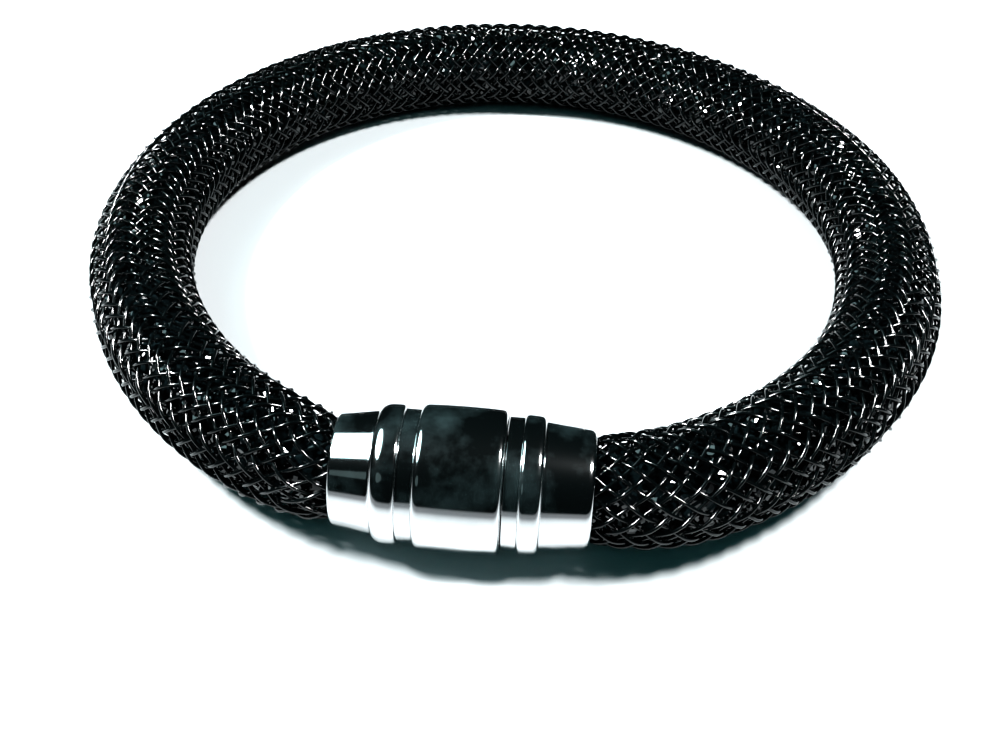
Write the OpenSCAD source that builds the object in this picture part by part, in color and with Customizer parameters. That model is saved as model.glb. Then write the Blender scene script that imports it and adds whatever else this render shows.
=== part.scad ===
// Crystal net bracelet: a loop of woven net tube filled with small cut crystals, closed by a
// turned steel magnetic clasp. It lies on a surface with the clasp in front, along X.
// Units are millimetres. The origin is on the surface, under the middle of the whole bracelet.

/* [Loop] */
// Radius of the loop, measured to the middle of the tube
loop_r = 30; // [29.5:0.5:36]
// Diameter of the filled net tube
tube_d = 8; // [7.6:0.1:8.4]
// How far the clasp's axis sits inside the loop's circle, which flattens the front
clasp_inset = 1.9; // [1.9:0.1:3]
// How far the clasp sits to the left of the loop's middle
clasp_shift = 1.1; // [0:0.1:1.1]

/* [Net and crystals] */
// Thickness of the woven net, two crossing strands
net_wall = 0.45; // [0.35:0.05:0.6]
// Gap between the net and the mass of crystals
fill_gap = 0.1; // [0.05:0.05:0.2]
// Length over which the net swells from the clasp to its full width
swell_l = 8; // [7:0.5:9]
// Depth of the net's end in each cup of the clasp
net_depth = 3.1; // [2.5:0.1:3.3]
// Depth of the crystals in each cup of the clasp
fill_depth = 2; // [1:0.1:2.4]

/* [Clasp outside] */
// Length of the socket half's cup
socket_cup_l = 2.7; // [2.3:0.1:2.9]
// Width of the round ridge beside that cup
ridge_w = 1.65; // [1.5:0.05:1.9]
// Width of each of the two grooves
groove_w = 1; // [0.8:0.1:1.1]
// Length of the crowned barrel
barrel_l = 5.55; // [5:0.05:5.8]
// Width of the ring on the plug half
ring_w = 1.4; // [1.3:0.05:1.6]
// Length of the plug half's cup
plug_cup_l = 3.2; // [3:0.05:3.4]
// Radius of the socket half's cup at its mouth
socket_mouth_r = 3.69; // [3.6:0.01:3.8]
// Radius of the socket half's cup where it meets the ridge
socket_cup_r = 4.14; // [4:0.01:4.25]
// Radius of the ridge
ridge_r = 4.63; // [4.55:0.01:4.7]
// Radius of the grooves' floors
groove_r = 4.4; // [4.3:0.01:4.42]
// Largest radius of the barrel, which rests on the surface
barrel_r = 4.85; // [4.8:0.01:5]
// Radius of the ring on the plug half
ring_r = 4.63; // [4.61:0.01:4.7]
// Radius of the plug half's cup where it meets the ring
plug_cup_r = 4.23; // [4.1:0.01:4.3]
// Radius of the plug half's cup at its mouth
plug_mouth_r = 3.89; // [3.8:0.01:3.95]
// How much the barrel narrows from its middle to its ends
crown = 0.08; // [0:0.01:0.1]
// Size of the small chamfers on the turned edges
edge = 0.1; // [0.05:0.01:0.11]

/* [Clasp inside] */
// Wall of each cup at its mouth
cup_wall = 0.4; // [0.35:0.01:0.45]
// Depth of the bore that takes the net's end
bore_depth = 3.6; // [3.5:0.1:3.9]
// Radius of the spigot that the plug half puts in the socket half
spigot_r = 3.05; // [3:0.01:3.1]
// Length of that spigot
spigot_l = 2.35; // [2.3:0.05:2.4]
// Radius of the magnet in the socket half
socket_magnet_r = 2.6; // [2.4:0.1:2.7]
// Radius of the magnet in the spigot
plug_magnet_r = 2.5; // [2.2:0.1:2.5]
// Thickness of each magnet
magnet_t = 1.9; // [1.5:0.1:2]
// Gap between pieces that fit in each other
fit_gap = 0.05; // [0.04:0.01:0.08]

/* [Hidden] */
$fn = 96;

tube_r = tube_d / 2;
clasp_reach = loop_r - clasp_inset;
clasp_l = socket_cup_l + ridge_w + 2 * groove_w + barrel_l + ring_w + plug_cup_l;
// The tube runs straight for this little way past each cup before it turns
straight_l = 0.25;
half_straight = clasp_l / 2 + straight_l;

// The barrel is thicker than the tube, so the loop leans back until its far side rests too
lean = asin((barrel_r - tube_r) / (loop_r + clasp_reach));
clasp_y = -((loop_r + clasp_reach) * cos(lean) + tube_r - barrel_r) / 2;

socket_bore_r = socket_mouth_r - cup_wall;
plug_bore_r = plug_mouth_r - cup_wall;
// The net's ends keep this gap to the bores, which the glue fills
glue_gap = 0.1;
// Where the socket half ends, measured from the clasp's middle
parting_x = socket_cup_l + ridge_w + groove_w + barrel_l - clasp_l / 2;

NECK_SIDES = 32;
// The faceted necks start this much slimmer than the round tube, and end inside it
neck_slim = 0.02;
neck_lap = 0.6;

// The loop, in its own plane: the clasp's axis is the X axis, and the circle's middle is at
// [clasp_shift, clasp_reach]. side is 1 to the right of the clasp and -1 to the left.
function across(side) = half_straight - side * clasp_shift;
function shoulder_r(side) = loop_r - clasp_inset / 2 - pow(across(side), 2) / (2 * clasp_inset);
function shoulder_turn(side) = atan2(across(side), clasp_reach - shoulder_r(side));
function shoulder_l(side) = shoulder_r(side) * shoulder_turn(side) * PI / 180;
// Heading of the tube at a distance d past the straight part
function heading(side, d) =
    d <= 0 ? 0
    : d < shoulder_l(side) ? d / shoulder_r(side) * 180 / PI
    : shoulder_turn(side) + (d - shoulder_l(side)) / loop_r * 180 / PI;
function place(side, d) =
    let (a = heading(side, d), s = shoulder_r(side))
    d <= 0 ? [side * (half_straight + d), 0]
    : d < shoulder_l(side) ? [side * (half_straight + s * sin(a)), s * (1 - cos(a))]
    : [clasp_shift + side * loop_r * sin(a), clasp_reach - loop_r * cos(a)];

// How far the net has swelled at each station of a neck, as a share of swell_l and of the way
// from the radius in the cup to the tube's full radius
AT = 0;
SWELLED = 1;
SWELL = [[0, 0], [0.05, 0.25], [0.13, 0.46], [0.25, 0.64], [0.42, 0.8], [0.62, 0.91], [0.82, 0.975], [1, 1]];

function ring(side, d, r) =
    let (p = place(side, d), a = heading(side, d))
    [for (k = [0:NECK_SIDES - 1])
        let (b = 360 * k / NECK_SIDES)
        [p[0] + side * r * cos(b) * sin(a), p[1] - r * cos(b) * cos(a), r * sin(b)]];

// A closed solid through rings of points, each with NECK_SIDES points
module skin(rings, side) {
    n = NECK_SIDES;
    last = len(rings) - 1;
    walls = [for (i = [0:last - 1], k = [0:n - 1])
        let (m = (k + 1) % n)
        [i * n + k, i * n + m, (i + 1) * n + m, (i + 1) * n + k]];
    caps = [[for (k = [n - 1:-1:0]) k], [for (k = [0:n - 1]) last * n + k]];
    faces = concat(walls, caps);
    outward = side > 0 ? faces : [for (f = faces) [for (i = [len(f) - 1:-1:0]) f[i]]];
    polyhedron(points = [for (r = rings, p = r) p], faces = outward, convexity = 4);
}

// The narrow end of the tube, from inside a cup out to its full width. thinner is how much
// smaller it is than the net's outside all round.
module neck(side, bore_r, depth, thinner) {
    cup_r = bore_r - glue_gap - thinner;
    full_r = tube_r - thinner - neck_slim;
    inside = [ring(side, -straight_l - depth, cup_r)];
    swell = [for (row = SWELL)
        ring(side, -straight_l + row[AT] * swell_l, cup_r + row[SWELLED] * (full_r - cup_r))];
    lap = [ring(side, -straight_l + swell_l + neck_lap, full_r)];
    skin(concat(inside, swell, lap), side);
}

// The whole tube as one filled solid
module filled_tube(thinner, depth) {
    from = heading(1, swell_l - straight_l);
    to = heading(-1, swell_l - straight_l);
    translate([clasp_shift, clasp_reach, 0])
    rotate([0, 0, from - 90])
    rotate_extrude(angle = 360 - from - to)
    translate([loop_r, 0])
    circle(r = tube_r - thinner);
    neck(1, plug_bore_r, depth, thinner);
    neck(-1, socket_bore_r, depth, thinner);
}

// Sets what is modelled round the clasp's axis down on the surface
module set_down() {
    translate([-clasp_shift, clasp_y, barrel_r])
    rotate([-lean, 0, 0])
    children();
}

// A solid turned round the clasp's axis. Each row of the outline is a place along that axis and
// a radius, from left to right.
module turned(outline) {
    first = outline[0];
    final = outline[len(outline) - 1];
    rotate([90, 0, 90])
    rotate_extrude()
    polygon(concat([[0, first[0]]], [for (row = outline) [row[1], row[0]]], [[0, final[0]]]));
}

// A round bore or disc on the clasp's axis, from x = from to x = to
module disc(from, to, r) {
    translate([from, 0, 0])
    rotate([0, 90, 0])
    cylinder(h = to - from, r = r);
}

module net_tube() {
    color([0.07, 0.08, 0.08])
    set_down()
    difference() {
        filled_tube(0, net_depth);
        filled_tube(net_wall, net_depth + 1);
    }
}

module crystal_fill() {
    color([0.12, 0.16, 0.17])
    set_down()
    filled_tube(net_wall + fill_gap, fill_depth);
}

module clasp_socket() {
    mouth_x = -clasp_l / 2;
    ridge_x = mouth_x + socket_cup_l;
    groove_x = ridge_x + ridge_w;
    barrel_x = groove_x + groove_w;
    ridge_foot_r = socket_cup_r + 0.1;
    rise = ridge_r - ridge_foot_r;
    barrel_end_r = barrel_r - crown;
    rounding = 0.3;
    // The ridge swells up in a quarter of an ellipse, and the barrel's left edge is rounded
    ridge = [for (a = [0:22.5:90])
        [ridge_x + 0.5 * ridge_w * (1 - cos(a)), ridge_foot_r + rise * sin(a)]];
    shoulder = [for (a = [0:22.5:90])
        [barrel_x + rounding * (1 - cos(a)), barrel_end_r - rounding * (1 - sin(a))]];
    crowned = [for (t = [0.25:0.25:0.75])
        [barrel_x + t * barrel_l, barrel_r - crown * pow(2 * t - 1, 2)]];
    color([0.78, 0.8, 0.8])
    set_down()
    difference() {
        turned(concat(
            [[mouth_x, socket_mouth_r - edge], [mouth_x + edge, socket_mouth_r]],
            [[ridge_x, socket_cup_r]],
            ridge,
            [[groove_x - edge, ridge_r], [groove_x, ridge_r - edge]],
            [[groove_x, groove_r], [barrel_x, groove_r]],
            shoulder,
            crowned,
            [[parting_x - edge, barrel_end_r], [parting_x, barrel_end_r - edge]]
        ));
        disc(mouth_x - 1, mouth_x + bore_depth, socket_bore_r);
        disc(parting_x - spigot_l - 2 * fit_gap, parting_x + 1, spigot_r + fit_gap);
        disc(parting_x - spigot_l - magnet_t - 4 * fit_gap, parting_x, socket_magnet_r + fit_gap);
    }
}

module clasp_plug() {
    face_x = parting_x + fit_gap;
    tip_x = parting_x - spigot_l;
    ring_x = parting_x + groove_w;
    cup_x = ring_x + ring_w;
    mouth_x = clasp_l / 2;
    ring_end_r = ring_r - 0.06;
    wide = 2 * edge;
    color([0.78, 0.8, 0.8])
    set_down()
    difference() {
        turned([
            [tip_x, spigot_r - edge],
            [tip_x + edge, spigot_r],
            [face_x, spigot_r],
            [face_x, groove_r],
            [ring_x, groove_r],
            [ring_x, ring_r - wide],
            [ring_x + wide, ring_r],
            [cup_x - wide, ring_end_r],
            [cup_x, ring_end_r - wide],
            [cup_x, plug_cup_r],
            [mouth_x - edge, plug_mouth_r],
            [mouth_x, plug_mouth_r - edge]
        ]);
        disc(mouth_x - bore_depth, mouth_x + 1, plug_bore_r);
        disc(tip_x - 1, tip_x + magnet_t + 2 * fit_gap, plug_magnet_r + fit_gap);
    }
}

module socket_magnet() {
    front_x = parting_x - spigot_l - 3 * fit_gap;
    color([0.6, 0.6, 0.62])
    set_down()
    disc(front_x - magnet_t, front_x, socket_magnet_r);
}

module plug_magnet() {
    front_x = parting_x - spigot_l + fit_gap;
    color([0.6, 0.6, 0.62])
    set_down()
    disc(front_x, front_x + magnet_t, plug_magnet_r);
}

net_tube();
crystal_fill();
clasp_socket();
clasp_plug();
socket_magnet();
plug_magnet();
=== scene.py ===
"""A crystal bracelet: a black woven net full of small cut crystals, closed by a turned steel clasp."""

import logging
import math
import random
from dataclasses import dataclass, field
from enum import Enum
from typing import Any

import bmesh
import bpy
from mathutils import Matrix, Vector, noise


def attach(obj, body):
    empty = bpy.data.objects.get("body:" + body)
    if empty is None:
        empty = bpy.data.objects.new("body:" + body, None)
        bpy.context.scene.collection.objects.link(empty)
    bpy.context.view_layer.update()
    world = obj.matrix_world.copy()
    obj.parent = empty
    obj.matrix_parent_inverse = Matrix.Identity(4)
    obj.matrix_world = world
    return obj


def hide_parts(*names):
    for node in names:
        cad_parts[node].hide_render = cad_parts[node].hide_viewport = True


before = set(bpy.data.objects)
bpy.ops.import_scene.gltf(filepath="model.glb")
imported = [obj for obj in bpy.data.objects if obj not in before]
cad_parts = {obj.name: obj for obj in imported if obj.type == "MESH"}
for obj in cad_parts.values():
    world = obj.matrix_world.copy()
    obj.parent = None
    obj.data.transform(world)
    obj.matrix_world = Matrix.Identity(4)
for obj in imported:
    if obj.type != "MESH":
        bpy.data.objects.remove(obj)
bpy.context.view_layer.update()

MM = 0.001
BODY = "root"
FULL_TURN = 2 * math.pi
log = logging.getLogger("bracelet")


class Side(Enum):
    """The two ends of the net, by the half of the clasp that holds each."""

    PLUG = 1
    SOCKET = -1


class Hand(Enum):
    """The two families of strands, by the way they wind round the tube."""

    RIGHT = 1
    LEFT = -1


class Wire:
    """A socket of a shader graph that takes part in Python's arithmetic."""

    def __init__(self, graph: "Graph", socket: bpy.types.NodeSocket) -> None:
        """Wraps the socket of a node in that graph."""
        self.graph = graph
        self.socket = socket

    def __add__(self, other: "Wire | float") -> "Wire":
        """The sum of two values."""
        return self.graph.maths("ADD", self, other)

    def __sub__(self, other: "Wire | float") -> "Wire":
        """This value less the other."""
        return self.graph.maths("SUBTRACT", self, other)

    def __rsub__(self, other: "Wire | float") -> "Wire":
        """The other value less this one."""
        return self.graph.maths("SUBTRACT", other, self)

    def __mul__(self, other: "Wire | float") -> "Wire":
        """The product of two values."""
        return self.graph.maths("MULTIPLY", self, other)

    def __truediv__(self, other: "Wire | float") -> "Wire":
        """This value over the other."""
        return self.graph.maths("DIVIDE", self, other)

    def __pow__(self, other: "Wire | float") -> "Wire":
        """This value to the power of the other."""
        return self.graph.maths("POWER", self, other)

    __radd__ = __add__
    __rmul__ = __mul__


class Graph:
    """The node tree of one finish."""

    def __init__(self, name: str) -> None:
        """Makes a material of that name with an empty node tree."""
        self.material = bpy.data.materials.new(name)
        self.material.use_nodes = True
        self.tree = self.material.node_tree
        self.tree.nodes.clear()

    def node(
        self,
        kind: str,
        settings: dict[str, Any] | None = None,
        inputs: dict[str | int, Any] | None = None,
        output: str | int = 0,
    ) -> Wire:
        """Adds one node.

        Args:
            kind: The node's type.
            settings: Its own settings, which are set first. "stops" are a ramp's places and colours.
            inputs: The values or links of its sockets, by name or number.
            output: The socket that is handed back.

        Returns:
            That output socket.
        """
        made = self.tree.nodes.new(kind)
        for name, value in (settings or {}).items():
            if name == "stops":
                self._set_stops(made.color_ramp, value)
            else:
                setattr(made, name, value)
        for key, value in (inputs or {}).items():
            if isinstance(value, Wire):
                self.tree.links.new(value.socket, made.inputs[key])
            else:
                made.inputs[key].default_value = value
        return Wire(self, made.outputs[output])

    @staticmethod
    def _set_stops(ramp: bpy.types.ColorRamp, stops: list[tuple[float, tuple]]) -> None:
        """Gives a colour ramp its stops, in place of the two that it starts with."""
        for place, colour in stops[2:]:
            ramp.elements.new(place)
        for element, (place, colour) in zip(ramp.elements, stops):
            element.position = place
            element.color = colour

    def maths(self, operation: str, first: Wire | float, second: Wire | float) -> Wire:
        """One Math node on two values."""
        return self.node("ShaderNodeMath", {"operation": operation}, {0: first, 1: second})

    def clamped(self, value: Wire) -> Wire:
        """The value, kept from 0 to 1."""
        return self.node("ShaderNodeClamp", None, {"Value": value})

    def place(self) -> Wire:
        """The point on the piece, in millimetres."""
        metres = self.node("ShaderNodeTexCoord", None, None, "Object")
        return self.node("ShaderNodeVectorMath", {"operation": "SCALE"}, {0: metres, "Scale": 1 / MM})

    def cloud(self, place: Wire, per_mm: float, detail: float = 2.0, roughness: float = 0.5) -> Wire:
        """Noise from 0 to 1.

        Args:
            place: The point, in millimetres.
            per_mm: How many patches lie in a millimetre.
            detail: How many finer layers are added.
            roughness: How strong those are.

        Returns:
            The noise's value.
        """
        inputs = {"Vector": place, "Scale": per_mm, "Detail": detail, "Roughness": roughness}
        return self.node("ShaderNodeTexNoise", None, inputs)

    def blend(self, share: Wire, first: tuple, second: tuple) -> Wire:
        """Goes from the first colour to the second as the share goes from 0 to 1."""
        colour_a, colour_b, colour_out = 6, 7, 2
        inputs = {"Factor": share, colour_a: first, colour_b: second}
        return self.node("ShaderNodeMix", {"data_type": "RGBA"}, inputs, colour_out)

    def surface(self, sockets: dict[str, Any]) -> Wire:
        """Adds the surface shader with those sockets."""
        return self.node("ShaderNodeBsdfPrincipled", None, sockets)

    def finish(self, surface: Wire) -> bpy.types.Material:
        """Links the surface to the material's output, and hands back the material."""
        out = self.tree.nodes.new("ShaderNodeOutputMaterial")
        self.tree.links.new(surface.socket, out.inputs["Surface"])
        return self.material


@dataclass(frozen=True)
class PolishedSteel:
    """Mirror steel with the thin film and the smears that fingers leave."""

    tint: tuple = (0.57, 0.575, 0.58, 1.0)
    polish: float = 0.08
    smear: float = 0.02
    smears_per_mm: float = 0.3
    smear_detail: float = 5.0
    smear_roughness: float = 0.6
    clean_below: float = 0.44
    smear_contrast: float = 2.6
    film: float = 0.2
    thin_film: float = 0.02
    film_tint: tuple = (0.055, 0.092, 0.096, 1.0)
    film_dullness: float = 0.5
    name: str = "polished_steel"

    def material(self) -> bpy.types.Material:
        """Makes the steel's material."""
        graph = Graph(self.name)
        patches = graph.cloud(graph.place(), self.smears_per_mm, self.smear_detail, self.smear_roughness)
        smudge = graph.clamped((patches - self.clean_below) * self.smear_contrast)
        roughness = self.polish + smudge * self.smear
        steel = graph.surface({"Base Color": self.tint, "Metallic": 1.0, "Roughness": roughness})
        grease = graph.surface({"Base Color": self.film_tint, "Roughness": self.film_dullness})
        share = self.thin_film + smudge * self.film
        return graph.finish(graph.node("ShaderNodeMixShader", None, {0: share, 1: steel, 2: grease}))


@dataclass(frozen=True)
class BlackNylon:
    """Glossy black thread, a little uneven along its length."""

    dark: tuple = (0.0006, 0.001, 0.0011, 1.0)
    pale: tuple = (0.0022, 0.0036, 0.0038, 1.0)
    patches_per_mm: float = 0.8
    gloss: float = 0.09
    unevenness: float = 0.04
    uneven_per_mm: float = 6.0
    ior: float = 1.4
    name: str = "black_nylon"

    def material(self) -> bpy.types.Material:
        """Makes the thread's material."""
        graph = Graph(self.name)
        place = graph.place()
        patches = graph.cloud(place, self.patches_per_mm, detail=3.0)
        uneven = graph.cloud(place, self.uneven_per_mm)
        thread = graph.surface(
            {
                "Base Color": graph.blend(patches, self.dark, self.pale),
                "Roughness": self.gloss + uneven * self.unevenness,
                "IOR": self.ior,
            }
        )
        return graph.finish(thread)


@dataclass(frozen=True)
class JetGlass:
    """Near-black cut glass whose stones differ a little in depth of colour."""

    dark: tuple = (0.0008, 0.0013, 0.0015, 1.0)
    pale: tuple = (0.005, 0.009, 0.01, 1.0)
    tones_per_mm: float = 0.8
    polish: float = 0.02
    dust: float = 0.06
    dust_per_mm: float = 3.0
    dust_above: float = 0.5
    dust_contrast: float = 3.0
    ior: float = 1.52
    name: str = "jet_glass"

    def material(self) -> bpy.types.Material:
        """Makes the glass's material."""
        graph = Graph(self.name)
        place = graph.place()
        cells = {"Vector": place, "Scale": self.tones_per_mm}
        colour = graph.node("ShaderNodeTexVoronoi", None, cells, "Color")
        tone = graph.node("ShaderNodeSeparateColor", None, {"Color": colour}) ** 2
        dusty = graph.cloud(place, self.dust_per_mm, detail=3.0) - self.dust_above
        glass = graph.surface(
            {
                "Base Color": graph.blend(tone, self.dark, self.pale),
                "Roughness": self.polish + graph.clamped(dusty * self.dust_contrast) * self.dust,
                "IOR": self.ior,
            }
        )
        return graph.finish(glass)


@dataclass(frozen=True)
class PlatedMagnet:
    """Dull nickel plate with fine pits."""

    tint: tuple = (0.5, 0.5, 0.52, 1.0)
    polish: float = 0.3
    pit: float = 0.2
    pits_per_mm: float = 3.0
    name: str = "plated_magnet"

    def material(self) -> bpy.types.Material:
        """Makes the plate's material."""
        graph = Graph(self.name)
        roughness = self.polish + graph.cloud(graph.place(), self.pits_per_mm, detail=3.0) * self.pit
        plate = graph.surface({"Base Color": self.tint, "Metallic": 1.0, "Roughness": roughness})
        return graph.finish(plate)


@dataclass(frozen=True)
class PaleFloor:
    """The plain pale surface that the bracelet lies on, with a painted pool of light round the bracelet
    and painted shade further away.

    Its pale part is an oval round a point behind the bracelet's middle, all in millimetres.
    """

    tint: tuple = (0.31, 0.325, 0.332, 1.0)
    painted_shade_tint: tuple = (0.055, 0.057, 0.06, 1.0)
    middle: float = 25
    reach: float = 102
    fade: float = 42
    depth_by_width: float = 0.8
    dullness: float = 0.95
    name: str = "pale_floor"

    def material(self) -> bpy.types.Material:
        """Makes the floor's material."""
        graph = Graph(self.name)
        place = graph.place()
        x = graph.node("ShaderNodeSeparateXYZ", None, {"Vector": place}, "X")
        y = graph.node("ShaderNodeSeparateXYZ", None, {"Vector": place}, "Y")
        # Painted pool of light: the colour is painted pale in an oval round the bracelet and fades to
        # painted shade beyond it.
        away = ((x * self.depth_by_width) ** 2 + (y - self.middle) ** 2) ** 0.5
        near = graph.clamped((self.reach - away) / self.fade)
        painted_light_share = near * near * (3 - near * 2)
        colour = graph.blend(painted_light_share, self.painted_shade_tint, self.tint)
        return graph.finish(graph.surface({"Base Color": colour, "Roughness": self.dullness}))


def mesh_object(name: str, mesh: bpy.types.Mesh) -> bpy.types.Object:
    """Puts a mesh in the scene as an object at the origin."""
    made = bpy.data.objects.new(name, mesh)
    bpy.context.scene.collection.objects.link(made)
    return made


def mesh_of(name: str, shape: bmesh.types.BMesh, smooth: bool) -> bpy.types.Mesh:
    """Turns a bmesh into a mesh and frees it.

    Args:
        name: The mesh's name.
        shape: The bmesh.
        smooth: Whether its faces are shaded smooth.

    Returns:
        The mesh.
    """
    for face in shape.faces:
        face.smooth = smooth
    made = bpy.data.meshes.new(name)
    shape.to_mesh(made)
    shape.free()
    return made


def dress(piece: bpy.types.Object, finish: bpy.types.Material, slot: str, *nodes: str) -> None:
    """Gives a piece its finish, and puts it in the frame in place of some nodes.

    Args:
        piece: The piece's object.
        finish: Its material.
        slot: The record's material slot; not used.
        nodes: The nodes that it stands for.
    """
    piece.data.materials.clear()
    piece.data.materials.append(finish)
    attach(piece, BODY)
    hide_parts(*nodes)
    triangles = sum(len(face.vertices) - 2 for face in piece.data.polygons)
    log.info("%s: %d triangles", piece.name, triangles)


@dataclass(frozen=True)
class Loop:
    """The line that the net follows, from the plug's cup round to the socket's.

    It is laid out round the clasp's axis, which is the X axis with the clasp's middle at the
    origin, and then set down on the floor. s is the distance along it from the plug's mouth. Each
    row of swell is a share of the swell's length and the share that the net has grown by there.
    """

    radius: float = 30 * MM
    tube_radius: float = 4 * MM
    inset: float = 1.9 * MM
    shift: float = 1.1 * MM
    half_clasp: float = 8.25 * MM
    straight: float = 0.25 * MM
    barrel_radius: float = 4.85 * MM
    plug_net_radius: float = 3.39 * MM
    socket_net_radius: float = 3.19 * MM
    swell_length: float = 8 * MM
    swell: tuple = (
        (0, 0),
        (0.05, 0.25),
        (0.13, 0.46),
        (0.25, 0.64),
        (0.42, 0.8),
        (0.62, 0.91),
        (0.82, 0.975),
        (1, 1),
    )

    @property
    def reach(self) -> float:
        """How far the circle's middle lies behind the clasp's axis."""
        return self.radius - self.inset

    def across(self, side: Side) -> float:
        """How far the tube starts from the circle's middle, along the clasp."""
        return self.half_clasp + self.straight - side.value * self.shift

    def shoulder_radius(self, side: Side) -> float:
        """Radius of the bend between the straight part and the circle."""
        return self.radius - self.inset / 2 - self.across(side) ** 2 / (2 * self.inset)

    def shoulder_turn(self, side: Side) -> float:
        """Angle that the bend turns."""
        return math.atan2(self.across(side), self.reach - self.shoulder_radius(side))

    def shoulder_length(self, side: Side) -> float:
        """Length of the bend."""
        return self.shoulder_radius(side) * self.shoulder_turn(side)

    @property
    def circle_length(self) -> float:
        """Length of the part that follows the circle."""
        turned = self.shoulder_turn(Side.PLUG) + self.shoulder_turn(Side.SOCKET)
        return self.radius * (FULL_TURN - turned)

    @property
    def length(self) -> float:
        """Length from mouth to mouth."""
        bends = self.shoulder_length(Side.PLUG) + self.shoulder_length(Side.SOCKET)
        return 2 * self.straight + bends + self.circle_length

    def nearer(self, s: float) -> tuple[Side, float]:
        """The end that is nearer along the circle, and the distance past its straight part."""
        half_way = self.straight + self.shoulder_length(Side.PLUG) + self.circle_length / 2
        if s < half_way:
            return Side.PLUG, s - self.straight
        return Side.SOCKET, self.length - s - self.straight

    def turned(self, side: Side, d: float) -> float:
        """Angle that the tube has turned at a distance d past the straight part of that side."""
        if d <= 0:
            return 0.0
        if d < self.shoulder_length(side):
            return d / self.shoulder_radius(side)
        return self.shoulder_turn(side) + (d - self.shoulder_length(side)) / self.radius

    def centre(self, s: float) -> Vector:
        """The middle of the tube, before the loop is set down."""
        side, d = self.nearer(s)
        turned = self.turned(side, d)
        if d <= 0:
            return Vector((side.value * (self.half_clasp + self.straight + d), 0, 0))
        if d < self.shoulder_length(side):
            bend = self.shoulder_radius(side)
            x = self.half_clasp + self.straight + bend * math.sin(turned)
            return Vector((side.value * x, bend * (1 - math.cos(turned)), 0))
        x = self.shift + side.value * self.radius * math.sin(turned)
        return Vector((x, self.reach - self.radius * math.cos(turned), 0))

    def outward(self, s: float) -> Vector:
        """The level direction away from the loop's inside."""
        side, d = self.nearer(s)
        turned = self.turned(side, d)
        return Vector((side.value * math.sin(turned), -math.cos(turned), 0))

    def net_radius(self, s: float) -> float:
        """Outside radius of the net, which narrows into each cup."""
        side, _ = self.nearer(s)
        past_mouth = s if side is Side.PLUG else self.length - s
        cup = self.plug_net_radius if side is Side.PLUG else self.socket_net_radius
        share = past_mouth / self.swell_length
        if share <= 0:
            return cup
        for (start, low), (stop, high) in zip(self.swell, self.swell[1:]):
            if share < stop:
                grown = low + (high - low) * (share - start) / (stop - start)
                return cup + grown * (self.tube_radius - cup)
        return self.tube_radius

    @property
    def set_down(self) -> Matrix:
        """Moves what is laid out round the clasp's axis to where it rests."""
        lean = math.asin((self.barrel_radius - self.tube_radius) / (self.radius + self.reach))
        span = (self.radius + self.reach) * math.cos(lean)
        back = -(span + self.tube_radius - self.barrel_radius) / 2
        resting = Vector((-self.shift, back, self.barrel_radius))
        return Matrix.Translation(resting) @ Matrix.Rotation(-lean, 4, "X")

    def point(self, s: float, angle: float, radius: float) -> Vector:
        """A point round the tube, before the loop is set down.

        Args:
            s: The distance along the loop.
            angle: The angle round the tube, from its outer side over its top.
            radius: The distance from the tube's middle.

        Returns:
            The point.
        """
        aside = self.outward(s) * math.cos(angle) + Vector((0, 0, math.sin(angle)))
        return self.centre(s) + aside * radius


def swept(
    name: str, lines: list[list[Vector]], radii: list[list[float]], thickness: float, sides: int
) -> bpy.types.Mesh:
    """Sweeps a round section along some lines, as a curve that is made a mesh.

    Args:
        name: The mesh's name.
        lines: The points of each line.
        radii: The share of the thickness at each point.
        thickness: The section's radius.
        sides: The section's sides, an even number of 4 or more.

    Returns:
        The mesh, with closed ends.
    """
    curve = bpy.data.curves.new(name, "CURVE")
    curve.dimensions = "3D"
    curve.bevel_depth = thickness
    curve.bevel_resolution = sides // 2 - 2
    curve.use_fill_caps = True
    for line, shares in zip(lines, radii):
        spline = curve.splines.new("POLY")
        spline.points.add(len(line) - 1)
        spline.points.foreach_set("co", [value for point in line for value in (*point, 1.0)])
        spline.points.foreach_set("radius", shares)
    carrier = bpy.data.objects.new(name, curve)
    bpy.context.scene.collection.objects.link(carrier)
    shown = carrier.evaluated_get(bpy.context.evaluated_depsgraph_get())
    made = bpy.data.meshes.new_from_object(shown)
    made.name = name
    bpy.data.objects.remove(carrier)
    bpy.data.curves.remove(curve)
    return made


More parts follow.
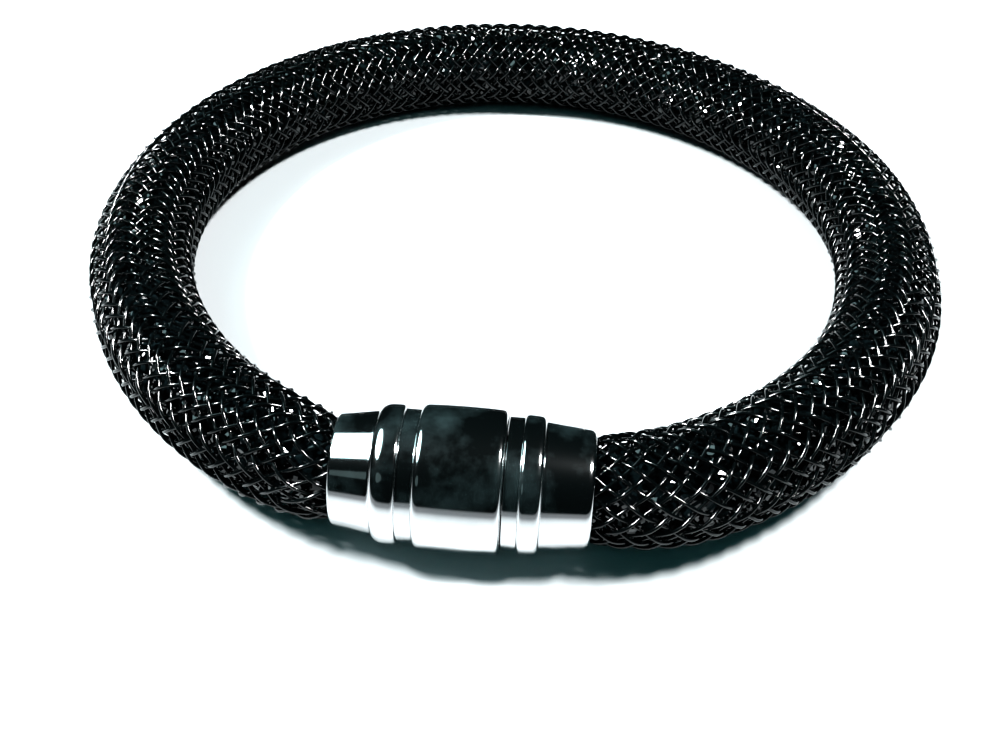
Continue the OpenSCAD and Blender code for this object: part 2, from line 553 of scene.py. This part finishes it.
@dataclass(frozen=True)
class Net:
    """The woven tube: two families of black strands that wind round it and cross."""

    loop: Loop
    strands: int = 18
    pitch: float = 1.36 * MM
    strand_radius: float = 0.13 * MM
    swing: float = 1.42
    first_crossing: float = 0.25
    drift: float = 0.16
    drift_length: float = 9 * MM
    drift_by_strand: float = 1.7
    drift_by_hand: float = 5.0
    depth: float = 2.9 * MM
    steps_per_strand: int = 6
    sides: int = 6

    @property
    def wave(self) -> float:
        """How far a strand's middle swings to each side of the net's middle."""
        return self.strand_radius * self.swing

    @property
    def thickness(self) -> float:
        """Thickness of the whole net."""
        return 2 * (self.wave + self.strand_radius)

    def height(self, turns: float, hand: Hand) -> float:
        """Where a strand is in the thickness of the net, from -1 inside to 1 outside.

        Args:
            turns: The place round the tube, in strands.
            hand: The strand's family.

        Returns:
            The height.
        """
        return hand.value * math.cos(math.pi * (turns - self.first_crossing))

    def strand(self, hand: Hand, index: int) -> list[Vector]:
        """The line of one strand, from inside one cup to inside the other."""
        whole = self.loop.length + 2 * self.depth
        count = round(whole / self.pitch * self.steps_per_strand)
        line = []
        for step in range(count + 1):
            s = -self.depth + whole * step / count
            chance = Vector(
                (s / self.drift_length, index * self.drift_by_strand, hand.value * self.drift_by_hand)
            )
            turns = index + hand.value * s / self.pitch + noise.noise(chance) * self.drift
            middle = self.loop.net_radius(s) - self.thickness / 2
            radius = middle + self.wave * self.height(turns, hand)
            line.append(self.loop.point(s, turns * FULL_TURN / self.strands, radius))
        return line

    def build(self, finish: bpy.types.Material) -> None:
        """Builds one piece for each family of strands."""
        for hand in Hand:
            name = f"net_strands_{hand.name.lower()}_hand"
            lines = [self.strand(hand, index) for index in range(self.strands)]
            shares = [[1.0] * len(line) for line in lines]
            mesh = swept(name, lines, shares, self.strand_radius, self.sides)
            mesh.transform(self.loop.set_down)
            mesh.shade_smooth()
            dress(mesh_object(name, mesh), finish, "net", "net_tube")


@dataclass(frozen=True)
class Crystals:
    """The small cut stones under the net, and the dark bed of stones below them."""

    loop: Loop
    cover: float = 0.62 * MM
    depth: float = 2 * MM
    row_pitch: float = 1.02 * MM
    stone_pitch: float = 1.12 * MM
    girdle: float = 0.6 * MM
    table: float = 0.35 * MM
    crown: float = 0.2 * MM
    pavilion: float = 0.42 * MM
    facets: int = 8
    smallest: float = 0.82
    largest: float = 1.08
    most_tilt: float = math.radians(38)
    most_sunk: float = 0.12 * MM
    row_play: float = 0.2
    step_play: float = 0.15
    bed_cover: float = 1.15 * MM
    bed_sides: int = 14
    bed_roughness: float = 0.2 * MM
    seed: int = 7

    @property
    def whole(self) -> float:
        """Length that the stones fill, from inside one cup to inside the other."""
        return self.loop.length + 2 * self.depth

    def stone(self) -> bpy.types.Mesh:
        """One cut stone: an eight-sided table, eight crown facets and eight below the girdle."""
        shape = bmesh.new()
        bmesh.ops.create_cone(
            shape,
            cap_ends=True,
            segments=self.facets,
            radius1=self.girdle,
            radius2=self.table,
            depth=self.crown,
        )
        under = min(shape.faces, key=lambda face: face.calc_center_median().z)
        bmesh.ops.poke(shape, faces=[under], offset=self.pavilion)
        bmesh.ops.recalc_face_normals(shape, faces=shape.faces)
        return mesh_of("cut_stone", shape, smooth=False)

    def setting(self, s: float, angle: float, dice: random.Random) -> Matrix:
        """The place of one stone, tilted and turned by chance but never out of the net.

        Args:
            s: The distance along the loop.
            angle: The angle round the tube.
            dice: The source of chance.

        Returns:
            The matrix that puts the stone there.
        """
        size = dice.uniform(self.smallest, self.largest)
        tilt = self.most_tilt * math.sqrt(dice.random())
        lowered = size * (self.crown / 2 * math.cos(tilt) + self.table * math.sin(tilt))
        ground = self.loop.net_radius(s) - self.cover - lowered - dice.uniform(0, self.most_sunk)
        foot = self.loop.point(s, angle, ground)
        upward = (self.loop.point(s, angle, 1.0) - self.loop.point(s, angle, 0.0)).normalized()
        facing = upward.to_track_quat("Z", "Y").to_matrix().to_4x4()
        tilted = Matrix.Rotation(dice.uniform(0, FULL_TURN), 4, "Z") @ Matrix.Rotation(tilt, 4, "X")
        spun = Matrix.Rotation(dice.uniform(0, FULL_TURN), 4, "Z")
        return Matrix.Translation(foot) @ facing @ tilted @ spun @ Matrix.Scale(size, 4)

    def stones(self) -> bpy.types.Mesh:
        """All the stones under the net, as one joined mesh."""
        dice = random.Random(self.seed)
        one = self.stone()
        joined = bmesh.new()
        rows = round(self.whole / self.row_pitch)
        for row in range(rows + 1):
            row_s = -self.depth + self.whole * row / rows
            around = FULL_TURN * (self.loop.net_radius(row_s) - self.cover)
            count = round(around / self.stone_pitch)
            for index in range(count):
                s = row_s + dice.uniform(-self.row_play, self.row_play) * self.row_pitch
                step = index + row % 2 / 2 + dice.uniform(-self.step_play, self.step_play)
                copy = one.copy()
                copy.transform(self.setting(s, step * FULL_TURN / count, dice))
                joined.from_mesh(copy)
                bpy.data.meshes.remove(copy)
        bpy.data.meshes.remove(one)
        return mesh_of("cut_crystals", joined, smooth=False)

    def bed(self) -> bpy.types.Mesh:
        """The tightly packed stones deeper down, as one rough faceted core."""
        count = round(self.loop.length / self.row_pitch)
        places = [-self.depth + self.whole * index / count for index in range(count + 1)]
        line = [self.loop.point(s, 0.0, 0.0) for s in places]
        widest = self.loop.tube_radius - self.bed_cover
        shares = [(self.loop.net_radius(s) - self.bed_cover) / widest for s in places]
        mesh = swept("crystal_bed", [line], [shares], widest, self.bed_sides)
        shape = bmesh.new()
        shape.from_mesh(mesh)
        bpy.data.meshes.remove(mesh)
        dice = random.Random(self.seed + 1)
        rough = self.bed_roughness
        for vert in shape.verts:
            vert.co += Vector([dice.uniform(-rough, rough) for _ in range(3)])
        bmesh.ops.triangulate(shape, faces=shape.faces)
        return mesh_of("crystal_bed", shape, smooth=False)

    def build(self, finish: bpy.types.Material) -> None:
        """Builds the stones and their bed."""
        for mesh in (self.stones(), self.bed()):
            mesh.transform(self.loop.set_down)
            dress(mesh_object(mesh.name, mesh), finish, "crystal", "crystal_fill")


@dataclass(frozen=True)
class Corner:
    """A corner of a turned outline: its place along the axis, its radius and its rounding."""

    x: float
    r: float
    rounding: float = 0.03 * MM

    @property
    def spot(self) -> Vector:
        """The corner as a point, in the plane through the axis."""
        return Vector((self.x, 0, self.r))

    def reach(self, other: "Corner") -> Vector:
        """How far this corner's rounding goes towards its neighbour."""
        most_of_edge = 0.9
        way = other.spot - self.spot
        room = most_of_edge * way.length * self.rounding / (self.rounding + other.rounding)
        return way.normalized() * min(self.rounding, room)


def rounded(corners: list[Corner]) -> list[Vector]:
    """The points of an outline whose corners are rounded.

    Args:
        corners: The corners, in order. The first and last stay sharp.

    Returns:
        The points, in the plane through the axis.
    """
    steps = 5
    # A point just outside each rounding keeps the smooth shading of the flat beside it even
    beyond = 1.04
    points = [corners[0].spot]
    for before, here, after in zip(corners, corners[1:], corners[2:]):
        back, ahead = here.reach(before), here.reach(after)
        points.append(here.spot + back * beyond)
        for step in range(steps + 1):
            t = step / steps
            points.append(here.spot + back * (1 - t) ** 2 + ahead * t**2)
        points.append(here.spot + ahead * beyond)
    return points + [corners[-1].spot]


@dataclass(frozen=True)
class Clasp:
    """The turned steel clasp: a socket half with a cup, ridge and barrel, and a plug half."""

    loop: Loop
    socket_cup: float = 2.7 * MM
    ridge: float = 1.65 * MM
    groove: float = 1.0 * MM
    barrel: float = 5.55 * MM
    ring: float = 1.4 * MM
    socket_mouth_radius: float = 3.69 * MM
    socket_cup_radius: float = 4.14 * MM
    ridge_step: float = 0.1 * MM
    ridge_radius: float = 4.63 * MM
    groove_radius: float = 4.4 * MM
    ring_radius: float = 4.63 * MM
    plug_cup_radius: float = 4.23 * MM
    plug_mouth_radius: float = 3.89 * MM
    crown: float = 0.08 * MM
    cup_wall: float = 0.4 * MM
    bore_depth: float = 3.6 * MM
    spigot_radius: float = 3.05 * MM
    spigot_length: float = 2.35 * MM
    socket_magnet: float = 2.65 * MM
    plug_magnet: float = 2.55 * MM
    magnet_thickness: float = 1.9 * MM
    gap: float = 0.05 * MM
    edge: float = 0.18 * MM
    wide_edge: float = 0.42 * MM
    soft_edge: float = 0.45 * MM
    crown_edge: float = 0.5 * MM
    steps: int = 128
    merge: float = 0.0001 * MM

    @property
    def parting(self) -> float:
        """Where the two halves meet, along the axis from the clasp's middle."""
        socket_length = self.socket_cup + self.ridge + self.groove + self.barrel
        return socket_length - self.loop.half_clasp

    def socket_outline(self) -> list[Vector]:
        """The socket half's outline, from the floor of its left bore round to its magnet's."""
        mouth = -self.loop.half_clasp
        ridge = mouth + self.socket_cup
        groove = ridge + self.ridge
        barrel = groove + self.groove
        bore = self.socket_mouth_radius - self.cup_wall
        barrel_end = self.loop.barrel_radius - self.crown
        foot = self.socket_cup_radius + self.ridge_step
        swell = [
            Corner(
                ridge + 0.5 * self.ridge * (1 - math.cos(turn)),
                foot + (self.ridge_radius - foot) * math.sin(turn),
                self.edge,
            )
            for turn in (math.pi / 8, math.pi / 4, 3 * math.pi / 8, math.pi / 2)
        ]
        crowned = [
            Corner(
                barrel + share * self.barrel,
                self.loop.barrel_radius - self.crown * (2 * share - 1) ** 2,
                self.crown_edge,
            )
            for share in (0.25, 0.5, 0.75)
        ]
        bottom = self.parting - self.spigot_length - 2 * self.gap
        magnet = bottom - self.magnet_thickness - 2 * self.gap
        spigot = self.spigot_radius + self.gap
        return rounded(
            [
                Corner(mouth + self.bore_depth, 0),
                Corner(mouth + self.bore_depth, bore),
                Corner(mouth, bore, self.edge),
                Corner(mouth, self.socket_mouth_radius, self.edge),
                Corner(ridge, self.socket_cup_radius, self.edge),
                Corner(ridge, foot, self.edge),
                *swell,
                Corner(groove, self.ridge_radius, self.wide_edge),
                Corner(groove, self.groove_radius),
                Corner(barrel, self.groove_radius),
                Corner(barrel, barrel_end, self.soft_edge),
                *crowned,
                Corner(self.parting, barrel_end, self.wide_edge),
                Corner(self.parting, spigot, self.edge),
                Corner(bottom, spigot),
                Corner(bottom, self.socket_magnet),
                Corner(magnet, self.socket_magnet),
                Corner(magnet, 0),
            ]
        )

    def plug_outline(self) -> list[Vector]:
        """The plug half's outline, from the floor of its magnet's bore round to its right bore's."""
        face = self.parting + self.gap
        tip = self.parting - self.spigot_length
        ring = self.parting + self.groove
        cup = ring + self.ring
        mouth = self.loop.half_clasp
        bore = self.plug_mouth_radius - self.cup_wall
        ring_end = self.ring_radius - self.crown
        magnet = tip + self.magnet_thickness + 2 * self.gap
        return rounded(
            [
                Corner(magnet, 0),
                Corner(magnet, self.plug_magnet),
                Corner(tip, self.plug_magnet, self.edge),
                Corner(tip, self.spigot_radius, self.edge),
                Corner(face, self.spigot_radius),
                Corner(face, self.groove_radius),
                Corner(ring, self.groove_radius),
                Corner(ring, self.ring_radius, self.wide_edge),
                Corner(cup, ring_end, self.wide_edge),
                Corner(cup, self.plug_cup_radius),
                Corner(mouth, self.plug_mouth_radius, self.wide_edge),
                Corner(mouth, bore, self.edge),
                Corner(mouth - self.bore_depth, bore),
                Corner(mouth - self.bore_depth, 0),
            ]
        )

    def turn(self, name: str, outline: list[Vector]) -> bpy.types.Mesh:
        """Turns an outline round the clasp's axis into a closed solid."""
        shape = bmesh.new()
        verts = [shape.verts.new(point) for point in outline]
        edges = [shape.edges.new(pair) for pair in zip(verts, verts[1:])]
        bmesh.ops.spin(
            shape,
            geom=verts + edges,
            cent=(0, 0, 0),
            axis=(1, 0, 0),
            dvec=(0, 0, 0),
            angle=FULL_TURN,
            steps=self.steps,
            use_merge=True,
            use_duplicate=False,
        )
        bmesh.ops.remove_doubles(shape, verts=shape.verts, dist=self.merge)
        bmesh.ops.recalc_face_normals(shape, faces=shape.faces)
        bmesh.ops.transform(shape, matrix=self.loop.set_down, verts=shape.verts)
        return mesh_of(name, shape, smooth=True)

    def build(self, finish: bpy.types.Material) -> None:
        """Builds the two halves."""
        outlines = {"clasp_socket": self.socket_outline(), "clasp_plug": self.plug_outline()}
        for node, outline in outlines.items():
            name = f"{node}_turned"
            dress(mesh_object(name, self.turn(name, outline)), finish, "steel", node)


@dataclass(frozen=True)
class Lamp:
    """A soft lamp that faces the bracelet.

    rise is its angle from the front horizon over the top to the back one, and lean its angle to
    the right of that arc, both in degrees. mirrored says whether it shows in glossy surfaces. Its
    colour at the source is radiance times tint.
    """

    name: str
    rise: float
    lean: float
    height: float
    width: float
    radiance: float
    distance: float = 320 * MM
    tint: tuple = (1.0, 1.0, 1.0)
    mirrored: bool = True
    target: tuple = (-1.1 * MM, -28.6 * MM, 4.85 * MM)

    def build(self) -> None:
        """Makes the lamp and turns it towards the bracelet."""
        rise = math.radians(self.rise)
        lean = math.radians(self.lean)
        towards = Vector(
            (math.sin(lean), -math.cos(lean) * math.cos(rise), math.cos(lean) * math.sin(rise))
        )
        data = bpy.data.lights.new(self.name, "AREA")
        data.shape = "ELLIPSE"
        data.size = self.width
        data.size_y = self.height
        data.color = self.tint
        face = math.pi / 4 * self.width * self.height
        data.energy = self.radiance * math.pi * face
        lamp = bpy.data.objects.new(self.name, data)
        along_arc = Vector((0, math.sin(rise), math.cos(rise)))
        sideways = along_arc.cross(towards).normalized()
        upright = towards.cross(sideways)
        turned = Matrix((sideways, upright, towards)).transposed().to_4x4()
        place = Vector(self.target) + towards * self.distance
        lamp.matrix_world = Matrix.Translation(place) @ turned
        lamp.visible_glossy = self.mirrored
        bpy.context.scene.collection.objects.link(lamp)


@dataclass(frozen=True)
class Studio:
    """The floor, the lamps and the camera."""

    camera_place: tuple = (4.308 * MM, -76.702 * MM, 58.733 * MM)
    yaw: float = math.radians(-3.961)
    pitch: float = math.radians(42.779)
    roll: float = math.radians(1.742)
    lens: float = 40.304
    sensor: float = 36.0
    nearest_seen: float = 1 * MM
    farthest_seen: float = 10000 * MM
    floor_radius: float = 3000 * MM
    floor_sides: int = 96
    room: tuple = (0.002, 0.0035, 0.0037, 1.0)
    lamps: tuple = (
        Lamp(
            "window", rise=97, lean=-34, height=290 * MM, width=170 * MM,
            radiance=3.7, tint=(0.7, 1, 1.02),
        ),
        Lamp("left_lamp", rise=90, lean=-39, height=74 * MM, width=52 * MM, radiance=330),
        Lamp(
            "card", rise=38, lean=-23, height=84 * MM, width=110 * MM,
            radiance=0.14, tint=(0.75, 1, 1),
        ),
        Lamp(
            "fill", rise=48, lean=0, height=150 * MM, width=150 * MM,
            radiance=2.1, tint=(0.3, 1, 1.02), mirrored=False,
        ),
        Lamp("right_lamp", rise=91, lean=30, height=68 * MM, width=47 * MM, radiance=318),
    )

    def build(self) -> None:
        """Builds everything round the bracelet."""
        self.add_floor()
        self.add_camera()
        self.dim_room()
        for lamp in self.lamps:
            lamp.build()
        bpy.context.scene.view_settings.view_transform = "Standard"
        bpy.context.scene.view_settings.look = "High Contrast"

    def add_floor(self) -> None:
        """Adds the floor that the bracelet lies on."""
        shape = bmesh.new()
        bmesh.ops.create_circle(
            shape, cap_ends=True, segments=self.floor_sides, radius=self.floor_radius
        )
        floor = mesh_object("floor", mesh_of("floor", shape, smooth=False))
        floor.data.materials.append(PaleFloor().material())

    def add_camera(self) -> None:
        """Adds the camera, which looks down at the clasp from the front."""
        ahead = Vector(
            (
                math.sin(self.yaw) * math.cos(self.pitch),
                math.cos(self.yaw) * math.cos(self.pitch),
                -math.sin(self.pitch),
            )
        )
        level = Vector((math.cos(self.yaw), -math.sin(self.yaw), 0))
        above = level.cross(ahead)
        right = level * math.cos(self.roll) + above * math.sin(self.roll)
        up = above * math.cos(self.roll) - level * math.sin(self.roll)
        data = bpy.data.cameras.new("camera")
        data.lens = self.lens
        data.sensor_width = self.sensor
        data.clip_start = self.nearest_seen
        data.clip_end = self.farthest_seen
        camera = bpy.data.objects.new("camera", data)
        turned = Matrix((right, up, -ahead)).transposed().to_4x4()
        camera.matrix_world = Matrix.Translation(Vector(self.camera_place)) @ turned
        bpy.context.scene.collection.objects.link(camera)
        bpy.context.scene.camera = camera

    def dim_room(self) -> None:
        """Makes the room round the bracelet dark, so that the steel has something to mirror."""
        world = bpy.data.worlds.new("room")
        world.use_nodes = True
        world.node_tree.nodes["Background"].inputs["Color"].default_value = self.room
        bpy.context.scene.world = world


@dataclass
class Bracelet:
    """The whole bracelet, dressed."""

    loop: Loop = field(default_factory=Loop)

    def build(self) -> None:
        """Builds each part and reports it."""
        Clasp(self.loop).build(PolishedSteel().material())
        Net(self.loop).build(BlackNylon().material())
        Crystals(self.loop).build(JetGlass().material())
        self.dress_magnets()

    def dress_magnets(self) -> None:
        """Gives the two hidden magnets their plate."""
        plate = PlatedMagnet().material()
        for node in ("socket_magnet", "plug_magnet"):
            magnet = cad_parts[node]
            magnet.data.materials.clear()
            magnet.data.materials.append(plate)
            log.info("%s: kept, with a plated finish", node)


def main() -> None:
    """Builds the studio and the bracelet."""
    logging.basicConfig(level=logging.INFO, format="%(message)s")
    Studio().build()
    Bracelet().build()


if __name__ == "__main__":
    main()
